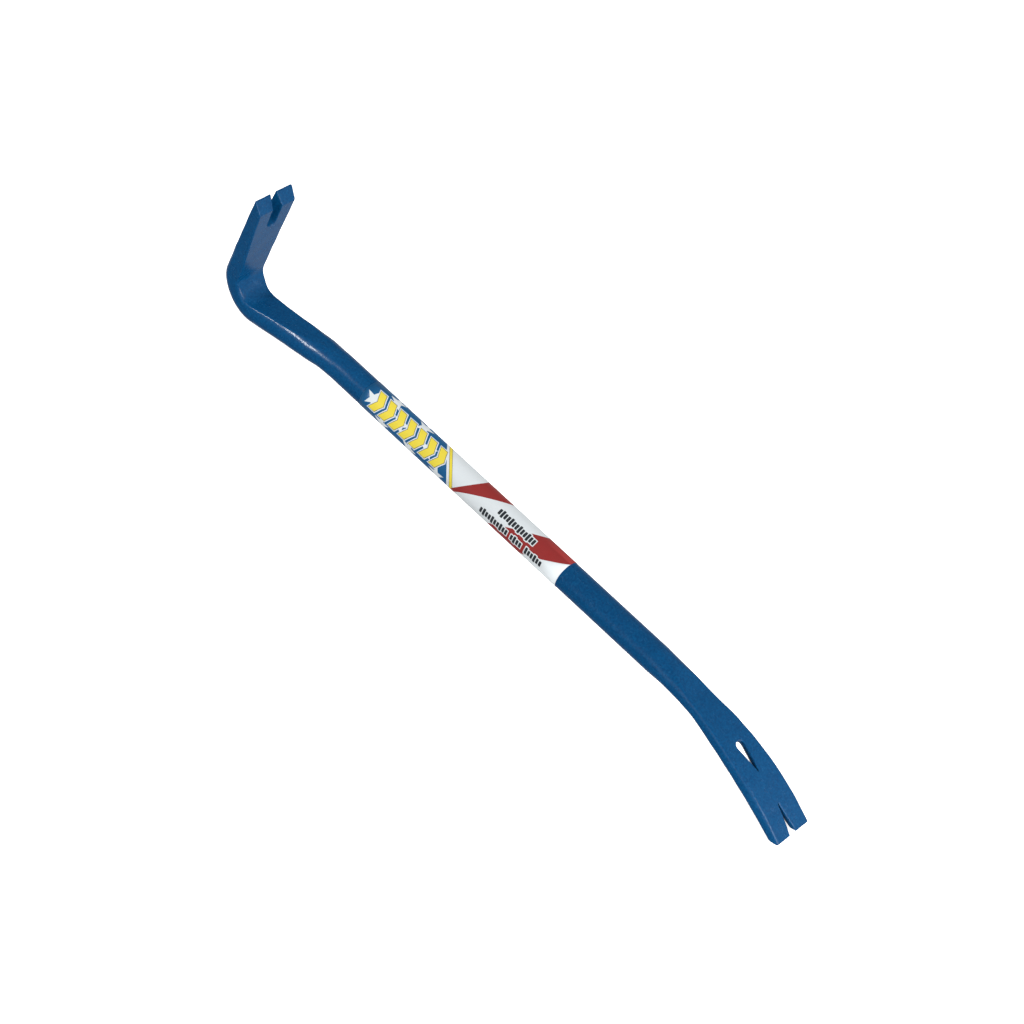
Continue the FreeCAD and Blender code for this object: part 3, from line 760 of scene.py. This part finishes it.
def printed_film(name):
    """Gloss film printed in one colour, with the faint mottle of the print and a soft ripple."""
    n = Material(f"printed_film_{name}")
    full = INK_COLOURS[name]
    pale = tuple(INK_FADE * c + INK_HAZE for c in full[:3]) + (1.0,)
    mottle = n.ramp(n.noise(0.8, detail=3.0, roughness=0.7), 0.3, 0.7)
    gloss = n.ramp(n.noise(9.0, detail=4.0, roughness=0.6), 0.3, 0.7, start=0.30, end=0.40)
    ripple = n.bump(n.noise(3.0, detail=2.0), distance_mm=0.02, strength=0.3)
    n.shade(Base_Color=n.mix(mottle, full, pale), Roughness=gloss)
    n.shade(Specular_IOR_Level=0.3, Normal=ripple)
    return n.material


def grey(value):
    """A neutral colour of one brightness."""
    return (value, value, value, 1.0)


WHITE = grey(1.0)
PAPER_LOW, PAPER_HIGH, PAPER_BOUNCE = grey(0.90), grey(0.93), grey(0.45)
PAPER_GLOW = 0.75  # light of its own that lets the paper fade into the background
TOWARDS_CAMERA = (0.0, -1.0, 0.0)


def floor_material():
    """Pale matt paper: bright enough to the camera to fade out, and dimmer as a bounce on the bar."""
    n = Material("studio_floor")
    tone = n.mix(n.noise(400.0, detail=2.0), PAPER_LOW, PAPER_HIGH)
    path = n.add("ShaderNodeLightPath")
    seen, glossy = path.outputs["Is Camera Ray"], path.outputs["Is Glossy Ray"]
    n.shade(Base_Color=n.mix(seen, PAPER_BOUNCE, tone), Roughness=0.9, Specular_IOR_Level=0.1)
    n.shade(Emission_Color=WHITE, Emission_Strength=n.math("MULTIPLY", seen, PAPER_GLOW))
    # in reflections the paper darkens towards the camera, where a real studio is dark
    incoming = n.add("ShaderNodeNewGeometry").outputs["Incoming"]
    sheen = n.ramp(n.facing(incoming, TOWARDS_CAMERA), -0.5, 0.15, start=0.04, end=0.45)
    glow = n.add("ShaderNodeEmission", {"Color": WHITE, "Strength": sheen})
    both = n.add("ShaderNodeMixShader", {0: glossy, 1: n.shader.outputs[0], 2: glow.outputs[0]})
    n.give(n.tree.nodes["Material Output"].inputs["Surface"], both.outputs[0])
    return n.material


# ---------------------------------------------------------------- stage


def resting_slope(vertices, rounds=12):
    """The slope and height of the floor the bar rests on, under its heel and its blade tip."""
    heel = vertices[vertices[:, 0] < 0]
    blade = vertices[vertices[:, 0] > 0]
    slope = 0.0
    for _ in range(rounds):
        low = [part[np.argmin(part[:, 2] - slope * part[:, 0])] for part in (heel, blade)]
        slope = (low[1][2] - low[0][2]) / (low[1][0] - low[0][0])
    return slope, low[0][2] - slope * low[0][0]


FLOOR_HALF = 6.0  # metres
FLOOR_GAP = 0.0002  # metres between the bar's lowest points and the floor


def build_floor(vertices):
    """One large sheet of paper, tilted so that the bar lies on it."""
    slope, height = resting_slope(vertices)
    corners = [(-1, -1), (1, -1), (1, 1), (-1, 1)]
    points = [
        (FLOOR_HALF * x, FLOOR_HALF * y, FLOOR_HALF * slope * x + height * MM - FLOOR_GAP)
        for x, y in corners
    ]
    floor = mesh_object("studio_floor", np.array(points) / MM, [(0, 1, 2, 3)])
    floor.data.materials.append(floor_material())


ROOM_LIGHT, ROOM_SEEN = 0.8, 1.0
BRIGHT_SIDE = (0.63, 0.74, 0.21)


def light_room():
    """An even white room whose reflections are bright on one side and dark on the other."""
    world = bpy.data.worlds.new("studio")
    bpy.context.scene.world = world
    n = Nodes(world)
    path = n.add("ShaderNodeLightPath")
    direction = n.add("ShaderNodeTexCoord").outputs["Generated"]
    sheen = n.ramp(n.facing(direction, BRIGHT_SIDE), 0.30, 0.95, start=0.03, end=0.34)
    light = n.blend(path.outputs["Is Glossy Ray"], ROOM_LIGHT, sheen)
    background = n.tree.nodes["Background"]
    n.give(background.inputs["Color"], WHITE)
    n.give(background.inputs["Strength"], n.blend(path.outputs["Is Camera Ray"], light, ROOM_SEEN))


# Where the lamps aim, and then the lamps: name, place, aim, side, power in watts, spread in degrees and
# whether reflections show it. Places and sides are in metres.
MIDDLE, BLADE_SIDE, HOOK_SIDE = (0.0, 0.0, 0.0), (0.25, 0.0, 0.0), (-0.24, 0.0, 0.0)
LAMPS = (
    ("key", (3.2, 0.3, 1.9), MIDDLE, 2.4, 107.0, 180.0, True),
    ("fill", (0.64, -0.52, 0.06), BLADE_SIDE, 0.3, 3.2, 180.0, False),
    ("side", (0.30, -1.62, 0.25), BLADE_SIDE, 1.2, 4.5, 180.0, True),
    ("glint", (-0.98, -0.80, 0.56), HOOK_SIDE, 0.09, 0.06, 16.0, True),
)


def add_lamp(name, at, aim, side, power, spread, mirrored):
    """A soft square lamp that the camera itself doesn't see."""
    lamp = bpy.data.lights.new(name, "AREA")
    lamp.shape = "SQUARE"
    lamp.size = side
    lamp.energy = power
    lamp.spread = math.radians(spread)
    obj = bpy.data.objects.new(name, lamp)
    obj.location = at
    obj.rotation_euler = (Vector(aim) - Vector(at)).to_track_quat("-Z", "Y").to_euler()
    obj.visible_camera = False
    obj.visible_glossy = mirrored
    bpy.context.scene.collection.objects.link(obj)


# The camera's place in metres, and the directions that point right and up in its picture.
CAMERA_PLACE = Vector((0.64981, -1.04899, 1.37575))
CAMERA_RIGHT, CAMERA_UP = Vector((0.68789, 0.69530, 0.20823)), Vector((-0.63473, 0.43714, 0.63720))
SENSOR_WIDTH, FOCAL_LENGTH = 36.0, 87.89  # millimetres, as lenses are marked


def place_camera():
    """A long lens above the blade's side, turned so that the bar lies across the picture."""
    lens = bpy.data.cameras.new("camera")
    lens.sensor_width = SENSOR_WIDTH
    lens.lens = FOCAL_LENGTH
    camera = bpy.data.objects.new("camera", lens)
    back = CAMERA_RIGHT.cross(CAMERA_UP)
    turn = Matrix((CAMERA_RIGHT, CAMERA_UP, back)).transposed().to_4x4()
    camera.matrix_world = Matrix.Translation(CAMERA_PLACE) @ turn
    bpy.context.scene.collection.objects.link(camera)
    bpy.context.scene.camera = camera
    bpy.context.scene.view_settings.view_transform = "Standard"


def main():
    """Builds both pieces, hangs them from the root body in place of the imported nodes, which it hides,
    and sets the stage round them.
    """
    bar = build_bar()
    bar.data.materials.append(enamel())
    label = build_label()
    for name in INKS:
        label.data.materials.append(printed_film(name))
    for piece, node, slot in ((bar, "forged_bar", "blue_enamel"), (label, "label", "printed_film")):
        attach(piece, "root")
        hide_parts(node)
    build_floor(np.array([v.co for v in bar.data.vertices]) / MM)
    light_room()
    for lamp in LAMPS:
        add_lamp(*lamp)
    place_camera()


main()
